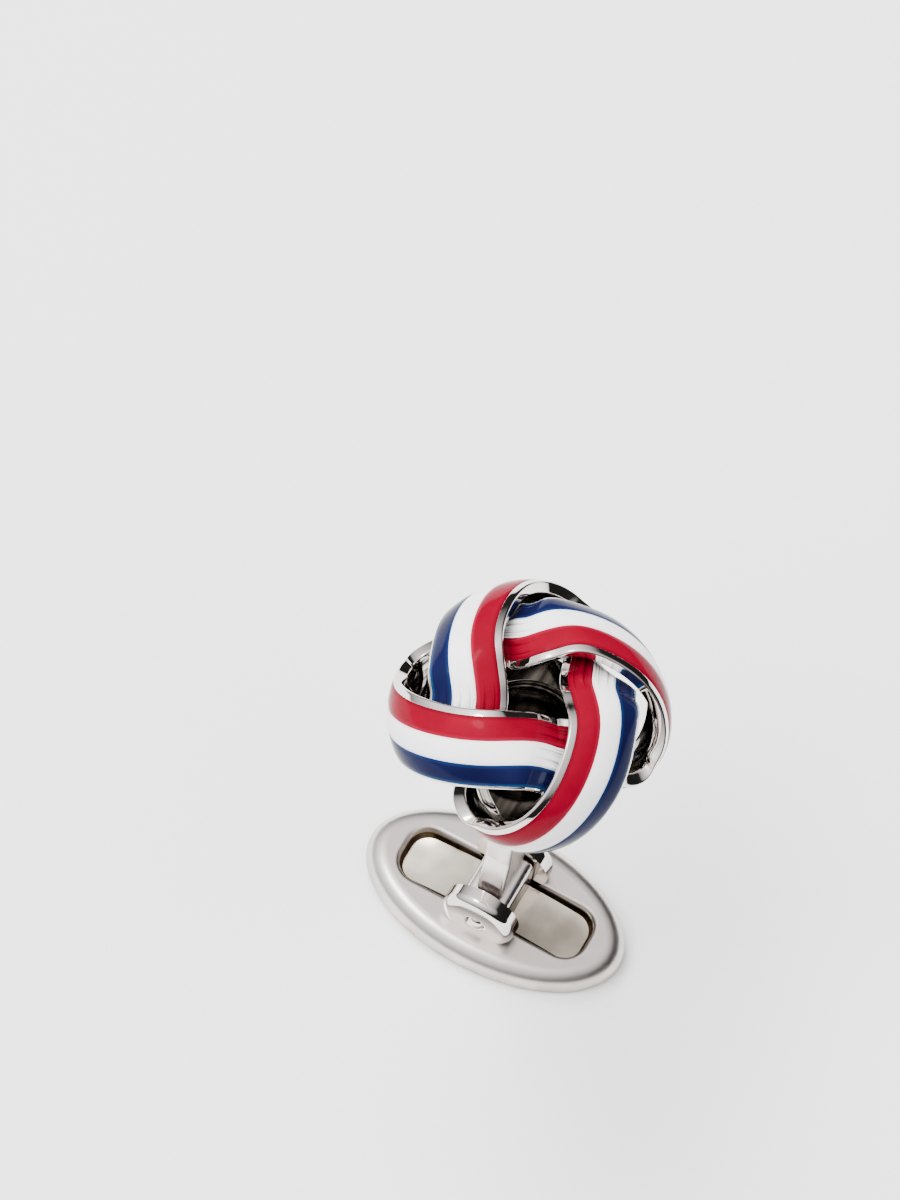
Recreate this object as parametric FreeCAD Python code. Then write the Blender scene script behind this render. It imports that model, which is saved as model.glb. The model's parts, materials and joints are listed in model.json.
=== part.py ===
"""Enamelled knot cufflink: woven head, flat post and an oval swivel back.

Sizes are in millimetres. The back lies on z = 0 with its long direction along X,
the hinge pin runs along Y and the post stands along Z.
"""
import math
import os

import FreeCAD
import Part

V = FreeCAD.Vector

# Knot head
KNOT_R = 6.58                       # equator radius of the dome the strands lie on
KNOT_HEIGHT = 1.588                 # polar radius of that dome, as a share of KNOT_R
KNOT_TURN = 18.75                   # turn of the first lobe from the back's long direction, degrees
STRANDS = 4                         # equal strands, each a quarter turn on from the last
LAT_MEAN = 36.5                     # mean latitude of a strand's middle line, degrees
LAT_SWING = -17.0                   # swing between the square hole and the outer lobe, degrees
LAT_POINT = -1.5                    # sharpens the lobe, degrees
LAT_SKEW = 1.42                     # slow way out to the lobe, quick way back under, degrees
WEAVE = 0.193                       # over and under, as a share of the dome radius
REACH_LOBE = -0.008                 # extra reach at the lobes
REACH_EVEN = 0.033                  # extra reach at both hole and lobe
REACH_SKEW = 0.045                  # skew of the reach
TILT_MEAN = -17.6                   # roll of the strip about its middle line, degrees
TILT_LOBE = -36.3                   # further roll at the lobes
TILT_CROSS = 28.3                   # further roll at the upper crossing
TILT_SKEW = 17.3                    # skew of the roll
TILT_EVEN = 12.4                    # further roll at both hole and lobe
TILT_WAVE = 4.5                     # flattens the roll along the sides of the hole
TILT_TWIST = -5.4                   # eases the twist into the crossings
PINCH = 0.24                        # narrowing of the strip where it turns under its neighbour
PINCH_AT = -33.0                    # azimuth of the narrowest place, degrees
STATIONS = 36                       # lofted lengths along each strand

# Strip section, all as shares of KNOT_R so that the head scales as one
CROWN_R = 0.682 * KNOT_R            # radius of the strip's rounded face
STRIP_T = 0.103 * KNOT_R            # thickness of the strip
RIM_HOLE = 0.064 * KNOT_R           # bright rim beside the red stripe
RIM_OUT = 0.030 * KNOT_R            # thin rim beside the blue stripe
RED_W = 0.186 * KNOT_R              # widths of the enamel stripes
WHITE_W = 0.184 * KNOT_R
BLUE_W = 0.167 * KNOT_R
STRIPE_SHIFT = -0.0828 * KNOT_R     # middle of the white stripe from the middle line
ENAMEL_DEPTH = 0.036 * KNOT_R       # depth of the enamel channel
EDGE_ROUND = 0.02 * KNOT_R          # rounding of the strip's outer edges
BOND = 0.012                        # film between enamel and metal
BUTT_ANGLE = 0.12                   # half the solder joint between strands, degrees

# Hinge and back
PIN_R = 0.45
PIN_PRESS = 0.01                    # pin in the ears
PIN_RUN = 0.04                      # pin in the post's eye
PIN_PROUD = 0.14                    # rivet head beyond the ear
EAR_R = 2.0
EAR_T = 1.0
EAR_ROUND = 0.22
EYE_W = 2.8                         # width of the post's eye along the pin
SIDE_CLEAR = 0.1                    # eye to ear, each side
BACK_L = 14.3
BACK_W = 8.0
BACK_T = 1.5
BACK_ROUND_TOP = 1.0
BACK_ROUND_LOW = 0.45
POST_LAY_CLEAR = 0.22               # folded post to the top of the back
FLOOR_T = 0.5                       # metal under the recess
RECESS_END = 1.9                    # rim left at each end of the recess
RECESS_CORNER = 1.15

# Post
NECK_X = 1.45
NECK_Y = 1.8
NECK_LOW = 4.8                      # pin to the foot of the neck, where the flare begins
NECK_HIGH = 4.2                     # collar to the top of the neck
CAM_HALF = 1.25                     # pin to each flat of the cam
CAM_ROUND = 0.5
POST_FREE = 14.75                   # pin to the underside of the seat
COLLAR_R = 1.55
COLLAR_T = 0.45
TENON_R = 0.8
RIVET_R = 1.15
RIVET_H = 0.42
SEAT_FIT = 0.01                     # seat on the collar, round the tenon and under the rivet

# Seat closing the underside of the knot
CUP_R = 0.435 * KNOT_R              # cup standing inside the strands
CUP_TOP = 0.50 * KNOT_R             # cup rim above the dome's centre
SEAT_T = 0.45
SEAT_DROP = 3.0                     # petals above the flat bottom
SEAT_ABOVE = 0.315 * KNOT_R         # petals above the dome's centre
PETAL_R = 0.836 * KNOT_R            # reach of the petals under the lobes
PETAL_IN = 0.66 * KNOT_R            # plan radius between the petals
PETAL_T = 0.3
PETAL_TURN = -4.0                   # petal from the lobe, degrees
PETAL_POINTS = 48                   # points on the petals' outline

# Leaf spring in the recess
SPRING_T = 0.2
SPRING_SIDE = 0.2                   # strip to recess wall
SPRING_GAP = 0.03                   # strip to cam

# Heights worked out from the sizes above
PIN_Z = BACK_T + NECK_X / 2 + POST_LAY_CLEAR
EAR_IN = EYE_W / 2 + SIDE_CLEAR
EAR_OUT = EAR_IN + EAR_T
SEAT_Z = PIN_Z + POST_FREE
KNOT_Z = SEAT_Z + SEAT_DROP - SEAT_ABOVE
DOME_H = KNOT_HEIGHT * KNOT_R
WHITE_A = STRIPE_SHIFT - WHITE_W / 2
WHITE_B = STRIPE_SHIFT + WHITE_W / 2
RED_A = WHITE_A - RED_W
BLUE_B = WHITE_B + BLUE_W
STRIP_A = RED_A - RIM_HOLE
STRIP_B = BLUE_B + RIM_OUT


def middle(u):
    """Point of a strand's middle line; u is the azimuth from its lobe, in degrees."""
    c2 = math.cos(math.radians(2 * u))
    s2 = math.sin(math.radians(2 * u))
    c4 = math.cos(math.radians(4 * u))
    s4 = math.sin(math.radians(4 * u))
    lat = math.radians(LAT_MEAN + LAT_SWING * c2 + LAT_POINT * c4 + LAT_SKEW * s4)
    reach = 1 + WEAVE * s2 + REACH_LOBE * c2 + REACH_EVEN * c4 + REACH_SKEW * s4
    r = KNOT_R * reach * math.cos(lat)
    turn = math.radians(u + KNOT_TURN)
    return V(r * math.cos(turn), r * math.sin(turn), DOME_H * reach * math.sin(lat))


def strip_frame(u):
    """Centre of the crown arc, outward and sideways directions and share of the width at u."""
    point = middle(u)
    along = middle(u - 0.01) - middle(u + 0.01)
    along.normalize()
    out = V(point.x / KNOT_R ** 2, point.y / KNOT_R ** 2, point.z / DOME_H ** 2)
    out = out - along * out.dot(along)
    out.normalize()
    side = along.cross(out)
    twice = math.radians(2 * u)
    tilt = TILT_MEAN + TILT_LOBE * math.cos(twice) + TILT_CROSS * math.sin(twice)
    tilt = tilt + TILT_EVEN * math.cos(2 * twice) + TILT_SKEW * math.sin(2 * twice)
    tilt = math.radians(tilt + TILT_WAVE * math.cos(3 * twice) + TILT_TWIST * math.sin(3 * twice))
    face = out * math.cos(tilt) + side * math.sin(tilt)
    side = side * math.cos(tilt) - out * math.sin(tilt)
    width = 1 - PINCH * math.cos(math.radians(u - PINCH_AT)) ** 20
    return point - face * CROWN_R, face, side, width


def on_strip(frame, s, depth):
    """Point at width s across the strip and at a depth below its crowned face."""
    centre, face, side, width = frame
    angle = s * width / CROWN_R
    r = CROWN_R - depth
    return centre + face * (r * math.cos(angle)) - side * (r * math.sin(angle)) + V(0, 0, KNOT_Z)


def across(frame, s0, s1, depth):
    """Arc across the strip at one depth."""
    ends = [on_strip(frame, s, depth) for s in (s0, (s0 + s1) / 2, s1)]
    return Part.Arc(*ends).toShape()


def wall(frame, s, d0, d1):
    """Straight edge through the strip's thickness."""
    return Part.makeLine(on_strip(frame, s, d0), on_strip(frame, s, d1))


def corner(frame, s, inward):
    """Rounded outer edge of the strip, from the flank to the face."""
    k = EDGE_ROUND * (1 - math.sqrt(0.5))
    p = on_strip(frame, s, EDGE_ROUND)
    q = on_strip(frame, s + inward * k, k)
    r = on_strip(frame, s + inward * EDGE_ROUND, 0)
    return (p, q, r)


def strand_section(u):
    """Closed outline of the metal strip with its enamel channel."""
    f = strip_frame(u)
    a = corner(f, STRIP_A, 1)
    b = corner(f, STRIP_B, -1)
    edges = [
        wall(f, STRIP_A, STRIP_T, EDGE_ROUND),
        Part.Arc(*a).toShape(),
        across(f, STRIP_A + EDGE_ROUND, RED_A, 0),
        wall(f, RED_A, 0, ENAMEL_DEPTH),
        across(f, RED_A, BLUE_B, ENAMEL_DEPTH),
        wall(f, BLUE_B, ENAMEL_DEPTH, 0),
        across(f, BLUE_B, STRIP_B - EDGE_ROUND, 0),
        Part.Arc(b[2], b[1], b[0]).toShape(),
        wall(f, STRIP_B, EDGE_ROUND, STRIP_T),
        across(f, STRIP_B, STRIP_A, STRIP_T),
    ]
    return Part.Wire(edges)


def stripe_section(u, s0, s1):
    """Closed outline of one enamel stripe."""
    f = strip_frame(u)
    s0 = s0 + BOND
    s1 = s1 - BOND
    low = ENAMEL_DEPTH - BOND
    edges = [
        wall(f, s0, low, 0),
        across(f, s0, s1, 0),
        wall(f, s1, 0, low),
        across(f, s1, s0, low),
    ]
    return Part.Wire(edges)


def run(section, *args):
    """Loft a section along one strand, from under one crossing to under the next."""
    start = 135 - BUTT_ANGLE
    stop = -45 + BUTT_ANGLE
    wires = []
    for i in range(STATIONS + 1):
        u = start + (stop - start) * i / STATIONS
        wires.append(section(u, *args))
    return Part.makeLoft(wires, True, False)


def quarter(shape, k):
    """Copy of a shape turned k quarter turns clockwise, seen from above."""
    copy = shape.copy()
    copy.rotate(V(0, 0, 0), V(0, 0, 1), -k * 360.0 / STRANDS)
    return copy


def rounded_rect(wx, wy, r, z):
    """Wire of a rectangle with rounded corners, centred on the Z axis."""
    x = wx / 2
    y = wy / 2
    k = r * (1 - math.sqrt(0.5))
    edges = []
    for i, (sx, sy) in enumerate(((1, 1), (-1, 1), (-1, -1), (1, -1))):
        on_x = V(sx * x, sy * (y - r), z)
        on_y = V(sx * (x - r), sy * y, z)
        mid = V(sx * (x - k), sy * (y - k), z)
        if i % 2 == 0:
            edges.append(Part.Arc(on_x, mid, on_y).toShape())
            edges.append(Part.makeLine(on_y, V(-sx * (x - r), sy * y, z)))
        else:
            edges.append(Part.Arc(on_y, mid, on_x).toShape())
            edges.append(Part.makeLine(on_x, V(sx * x, -sy * (y - r), z)))
    return Part.Wire(edges)


def rod(r, y0, y1):
    """Cylinder along the hinge axis."""
    return Part.makeCylinder(r, y1 - y0, V(0, y0, PIN_Z), V(0, 1, 0))


def round_edges(shape, r, keep):
    """Round those edges of a shape that keep() picks."""
    return shape.makeFillet(r, [e for e in shape.Edges if keep(e)])


def petal_outline(z):
    """Closed curve round the four petals, one under each lobe."""
    points = []
    for i in range(PETAL_POINTS):
        angle = 2 * math.pi * i / PETAL_POINTS
        wave = math.cos(STRANDS * (angle - math.radians(KNOT_TURN + PETAL_TURN)))
        r = (PETAL_R + PETAL_IN + wave * (PETAL_R - PETAL_IN)) / 2
        points.append(V(r * math.cos(angle), r * math.sin(angle), z))
    curve = Part.BSplineCurve()
    curve.interpolate(points, PeriodicFlag=True)
    return Part.Wire([curve.toShape()])


def make_seat():
    """Round-bottomed cup with a hole for the tenon and petals under the lobes."""
    flat = COLLAR_R + 0.15
    hole = TENON_R + SEAT_FIT
    petal_top = SEAT_Z + SEAT_DROP
    petal_low = petal_top - PETAL_T
    cup_top = KNOT_Z + CUP_TOP
    rise = petal_low - SEAT_Z
    middle_r = (CUP_R ** 2 - flat ** 2 - rise ** 2) / (2 * (CUP_R - flat))
    outer = CUP_R - middle_r
    inner = outer - SEAT_T
    reach = PETAL_R + PETAL_T

    def at(r, angle):
        return V(middle_r + r * math.sin(angle), 0, petal_low - r * math.cos(angle))

    def arc(r, a0, a1):
        return Part.Arc(at(r, a0), at(r, (a0 + a1) / 2), at(r, a1)).toShape()

    side = math.pi / 2
    low_angle = math.asin((flat - middle_r) / outer)
    top_angle = math.acos((rise - SEAT_T) / inner)
    corners = [
        at(outer, side),
        V(reach, 0, petal_low),
        V(reach, 0, petal_top),
        V(CUP_R, 0, petal_top),
        V(CUP_R, 0, cup_top),
        V(CUP_R - SEAT_T, 0, cup_top),
        at(inner, side),
    ]
    floor = [at(inner, top_angle), V(hole, 0, SEAT_Z + SEAT_T), V(hole, 0, SEAT_Z), at(outer, low_angle)]
    edges = [arc(outer, low_angle, side), arc(inner, side, top_angle)]
    for path in (corners, floor):
        for p, q in zip(path, path[1:]):
            edges.append(Part.makeLine(p, q))
    profile = Part.Face(Part.Wire(Part.__sortEdges__(edges)))
    cup = profile.revolve(V(0, 0, 0), V(0, 0, 1), 360)
    cup = round_edges(cup, 0.3 * SEAT_T, lambda e: e.BoundBox.ZMin > cup_top - 1e-6)
    inside = Part.Face(petal_outline(SEAT_Z - SEAT_T)).extrude(V(0, 0, SEAT_DROP + KNOT_R))
    return cup.common(inside)


def make_post():
    """Flat waisted post with a cam eye below and a riveted tenon above."""
    cam = rounded_rect(2 * CAM_HALF, 2 * CAM_HALF, CAM_ROUND, 0)
    cam.rotate(V(0, 0, 0), V(1, 0, 0), 90)
    cam.translate(V(0, EYE_W / 2, PIN_Z))
    eye = Part.Face(cam).extrude(V(0, -EYE_W, 0))
    collar_low = SEAT_Z - SEAT_FIT - COLLAR_T
    foot_z = PIN_Z + CAM_HALF - CAM_ROUND
    stations = (
        (NECK_X, EYE_W - 0.1, foot_z),
        (NECK_X, NECK_Y, PIN_Z + NECK_LOW),
        (NECK_X, NECK_Y, collar_low - NECK_HIGH),
        (1.4 * NECK_X, 1.16 * NECK_Y, collar_low),
    )
    wires = [rounded_rect(wx, wy, 0.14 * NECK_X, z) for wx, wy, z in stations]
    shaft = Part.makeLoft(wires, True, True)
    collar = Part.makeCylinder(COLLAR_R, COLLAR_T, V(0, 0, collar_low))
    collar = round_edges(collar, 0.15, lambda e: abs(e.BoundBox.ZMax - collar_low) < 1e-6)
    head_z = SEAT_Z + SEAT_T + SEAT_FIT
    tenon = Part.makeCylinder(TENON_R, head_z - SEAT_Z + 0.1 + SEAT_FIT, V(0, 0, SEAT_Z - SEAT_FIT))
    rivet = Part.makeCylinder(RIVET_R, RIVET_H, V(0, 0, head_z))
    rivet = round_edges(rivet, 0.8 * RIVET_H, lambda e: abs(e.BoundBox.ZMin - head_z - RIVET_H) < 1e-6)
    body = eye.fuse([shaft, collar, tenon, rivet]).removeSplitter()
    return body.cut(rod(PIN_R + PIN_RUN, -EYE_W, EYE_W))


def make_back():
    """Oval back with its recess and the two round ears."""
    oval = Part.Ellipse(V(0, 0, 0), BACK_L / 2, BACK_W / 2).toShape()
    plate = Part.Face(Part.Wire([oval])).extrude(V(0, 0, BACK_T))
    plate = round_edges(plate, BACK_ROUND_TOP, lambda e: e.BoundBox.ZMin > BACK_T - 1e-6)
    plate = round_edges(plate, BACK_ROUND_LOW, lambda e: e.BoundBox.ZMax < 1e-6)
    body = plate
    for sign in (-1, 1):
        ear = rod(EAR_R, EAR_IN, EAR_OUT)
        ear = round_edges(ear, EAR_ROUND, lambda e: e.BoundBox.YMin > EAR_OUT - 1e-6)
        if sign < 0:
            ear = ear.mirror(V(0, 0, 0), V(0, 1, 0))
        body = body.fuse(ear)
    recess = rounded_rect(BACK_L - 2 * RECESS_END, 2 * EAR_IN, RECESS_CORNER, FLOOR_T)
    body = body.cut(Part.Face(recess).extrude(V(0, 0, BACK_T + EAR_R)))
    return body.cut(rod(PIN_R + PIN_PRESS, -2 * EAR_OUT, 2 * EAR_OUT)).removeSplitter()


def make_spring():
    """Bowed strip that presses on the cam."""
    half = BACK_L / 2 - RECESS_END - SPRING_SIDE
    crest = PIN_Z - CAM_HALF - SPRING_GAP
    edges = []
    for z0, z1 in ((FLOOR_T + 0.01, crest - SPRING_T), (FLOOR_T + 0.01 + SPRING_T, crest)):
        edges.append(Part.Arc(V(-half, 0, z0), V(0, 0, z1), V(half, 0, z0)).toShape())
    low, high = edges
    ends = [Part.makeLine(low.Vertexes[i].Point, high.Vertexes[i].Point) for i in (0, 1)]
    face = Part.Face(Part.Wire(Part.__sortEdges__([low, high] + ends)))
    width = 2 * (EAR_IN - SPRING_SIDE)
    strip = face.extrude(V(0, width, 0))
    strip.translate(V(0, -width / 2, 0))
    outline = rounded_rect(2 * half, width, RECESS_CORNER - SPRING_SIDE, 0)
    return strip.common(Part.Face(outline).extrude(V(0, 0, 2 * PIN_Z)))


def make_pin():
    """Hinge pin with a softly rounded rivet head at each end."""
    reach = EAR_OUT + PIN_PROUD
    return round_edges(rod(PIN_R, -reach, reach), 0.8 * PIN_PROUD, lambda e: e.BoundBox.YLength < 1e-6)


def main():
    os.makedirs("parts", exist_ok=True)
    parts = {}
    strand = run(strand_section)
    stripes = {
        "red": run(stripe_section, RED_A, WHITE_A),
        "white": run(stripe_section, WHITE_A, WHITE_B),
        "blue": run(stripe_section, WHITE_B, BLUE_B),
    }
    for k in range(STRANDS):
        parts["strand_%d" % (k + 1)] = quarter(strand, k)
        for colour, stripe in stripes.items():
            parts["%s_enamel_%d" % (colour, k + 1)] = quarter(stripe, k)
    parts["knot_seat"] = make_seat()
    parts["post"] = make_post()
    parts["toggle_back"] = make_back()
    parts["hinge_pin"] = make_pin()
    parts["leaf_spring"] = make_spring()
    for name, shape in parts.items():
        solids = shape.Solids
        print(name, len(solids), round(shape.Volume, 3), shape.isValid(), len(shape.Faces))
        solids[0].exportStep("parts/%s.step" % name)


main()
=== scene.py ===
"""Looks of an enamelled knot cufflink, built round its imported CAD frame.

Shapes are surfaces of two parameters, worked out with numpy in millimetres in the
frame's own axes and turned into metres where a mesh is made.
"""
import json
import logging
import math
from dataclasses import dataclass
from enum import Enum

import bpy
import numpy as np
from mathutils import Matrix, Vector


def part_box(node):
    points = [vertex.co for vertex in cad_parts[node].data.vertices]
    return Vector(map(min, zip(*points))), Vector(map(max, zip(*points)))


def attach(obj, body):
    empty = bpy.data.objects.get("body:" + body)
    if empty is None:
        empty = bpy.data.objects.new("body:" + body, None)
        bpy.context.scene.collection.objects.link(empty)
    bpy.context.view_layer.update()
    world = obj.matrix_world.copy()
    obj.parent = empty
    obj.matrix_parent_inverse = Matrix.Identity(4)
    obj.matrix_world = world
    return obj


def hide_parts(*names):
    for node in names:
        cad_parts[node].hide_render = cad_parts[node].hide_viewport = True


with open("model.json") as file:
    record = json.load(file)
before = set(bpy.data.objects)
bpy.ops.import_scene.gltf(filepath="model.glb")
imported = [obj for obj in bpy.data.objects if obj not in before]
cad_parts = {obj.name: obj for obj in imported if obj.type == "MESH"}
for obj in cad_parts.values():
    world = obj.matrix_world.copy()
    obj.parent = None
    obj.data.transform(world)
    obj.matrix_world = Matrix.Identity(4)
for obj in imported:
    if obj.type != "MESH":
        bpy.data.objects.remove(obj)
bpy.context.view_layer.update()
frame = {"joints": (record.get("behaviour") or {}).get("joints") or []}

LOG = logging.getLogger("cufflink")
MM = 0.001
TURN = 2 * math.pi
SHARP = math.radians(40)  # faces that meet at more than this keep a sharp edge
HOLD = 0.02  # strip beside a round, in millimetres, that keeps the face next to it flat
TINY = 1e-3  # size of the last ring at a pole
CLOUDS = 420.0  # drift of a metal's tint and gloss, in features per metre
RUBBING = 900.0  # rubbing marks on a metal, in features per metre
WAVES = 200.0  # unevenness of a rolled strip, in features per metre

Colour = tuple[float, float, float]


class Stripe(Enum):
    """Enamel stripes across a strand, from the hole side to the outer side."""

    RED = "red"
    WHITE = "white"
    BLUE = "blue"


class Body(Enum):
    """Bodies of the frame that pieces ride on."""

    HEAD = "head"
    TOGGLE = "toggle"


# Meshes

def unit(v: np.ndarray) -> np.ndarray:
    """Vectors along the last axis, scaled to length one."""
    return v / np.linalg.norm(v, axis=-1, keepdims=True)


def arc(start: float, stop: float, count: int) -> np.ndarray:
    """Evenly spaced angles from start to stop, given in degrees, as radians."""
    return np.radians(np.linspace(start, stop, count))


class Surface:
    """Grids of points gathered into one mesh."""

    def __init__(self) -> None:
        """Start with no points."""
        self.points: list[np.ndarray] = []
        self.quads: list[np.ndarray] = []
        self.caps: list[list[int]] = []
        self.flow: list[np.ndarray] = []
        self.count = 0

    def add(self, grid: np.ndarray, wrap: tuple[bool, bool], caps: bool = False,
            flow: np.ndarray | None = None) -> None:
        """Add a closed grid of points; its faces are turned outwards.

        Each cell of the grid is one quad. The grid closes on itself along the axes
        that wrap names, and caps closes its first and last rows with one face each.

        Args:
            grid: Points in millimetres, rows by columns by three.
            wrap: Whether rows and columns close on themselves.
            caps: Whether the first and last rows get an end face.
            flow: Values along and across the surface, rows by columns by two.
        """
        rows, cols = grid.shape[:2]
        index = np.arange(rows * cols).reshape(rows, cols)
        across = np.concatenate([index, index[:, :1]], 1) if wrap[1] else index
        along = np.concatenate([across, across[:1]], 0) if wrap[0] else across
        quads = np.stack([along[:-1, :-1], along[:-1, 1:], along[1:, 1:], along[1:, :-1]], -1)
        quads = quads.reshape(-1, 4)
        points = grid.reshape(-1, 3)
        ends = [index[0][::-1].tolist(), index[-1].tolist()] if caps else []
        p = points - points.mean(0)
        a, b, c, d = (p[quads[:, k]] for k in range(4))
        volume = np.sum(a * np.cross(b, c)) + np.sum(a * np.cross(c, d))
        if volume < 0:
            quads = quads[:, ::-1]
            ends = [e[::-1] for e in ends]
        self.quads.append(quads + self.count)
        self.caps += [[i + self.count for i in e] for e in ends]
        self.points.append(points)
        self.flow.append(np.zeros((len(points), 2)) if flow is None else flow.reshape(-1, 2))
        self.count += len(points)

    def build(self, name: str, nodes: list[str], body: Body, slot: str,
              finish: "Finish") -> None:
        """Make the object that stands for CAD nodes and rides on their body.

        It is at the origin, with its place in its mesh.

        Args:
            name: Name of the new piece.
            nodes: CAD nodes that it stands for.
            body: Body that it rides on.
            slot: Material slot of the record; not used.
            finish: Finish of all its faces.
        """
        mesh = bpy.data.meshes.new(name)
        faces = [q for block in self.quads for q in block.tolist()] + self.caps
        mesh.from_pydata((np.concatenate(self.points) * MM).tolist(), [], faces)
        flow = mesh.attributes.new("flow", "FLOAT2", "POINT")
        flow.data.foreach_set("vector", np.concatenate(self.flow).astype(np.float32).ravel())
        mesh.polygons.foreach_set("use_smooth", np.ones(len(faces), bool))
        mesh.set_sharp_from_angle(angle=SHARP)
        mesh.materials.append(finish.material())
        piece = bpy.data.objects.new(name, mesh)
        bpy.context.scene.collection.objects.link(piece)
        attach(piece, body.value)
        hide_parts(*nodes)
        LOG.info("%s: %d points on %s", name, self.count, body.value)


def revolve(profile: np.ndarray, steps: int) -> np.ndarray:
    """Carry a profile of radius and height once round the Z axis.

    Args:
        profile: Radius and height in millimetres, one row per point.
        steps: Columns round the axis.

    Returns:
        A grid of profile rows by steps columns.
    """
    turn = np.linspace(0, TURN, steps, endpoint=False)
    r = profile[:, :1]
    z = np.broadcast_to(profile[:, 1:2], (len(profile), steps))
    return np.stack([r * np.cos(turn), r * np.sin(turn), z], -1)


def rounded_rect(wx: np.ndarray, wy: np.ndarray, r: float, count: int) -> np.ndarray:
    """Outlines of rectangles with rounded corners, anticlockwise from +X.

    The corner centres are moved out by the radius in the direction of the normal,
    which turns at an even pace except along the flats.

    Args:
        wx: Full widths along X, one per outline.
        wy: Full widths along Y, one per outline.
        r: Corner radius.
        count: Points on each quarter.

    Returns:
        Outlines by points by two.
    """
    wx, wy = np.atleast_1d(wx)[:, None], np.atleast_1d(wy)[:, None]
    half = count // 2
    straight = np.linspace(0, 1, half, endpoint=False)
    bend = np.linspace(0, 1, count - half)
    turn = np.concatenate([np.zeros(half), bend]) * TURN / 4
    up = np.concatenate([straight, np.ones(count - half)])
    x0, y0 = wx / 2 - r, wy / 2 - r
    quarter_x = x0 + r * np.cos(turn)
    quarter_y = y0 * up + r * np.sin(turn)
    along = np.linspace(0, 1, half, endpoint=False)[1:]
    top_x = x0 * (1 - along)
    top_y = np.broadcast_to(y0 + r, top_x.shape)
    x = np.concatenate([quarter_x, top_x], 1)
    y = np.concatenate([quarter_y, top_y], 1)
    x = np.concatenate([x, 0 * wx, -x[:, :0:-1]], 1)
    y = np.concatenate([y, y0 + r, y[:, :0:-1]], 1)
    x = np.concatenate([x, -wx / 2, x[:, :0:-1]], 1)
    y = np.concatenate([y, 0 * wy, -y[:, :0:-1]], 1)
    return np.stack([x, y], -1)


# Finishes

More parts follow.
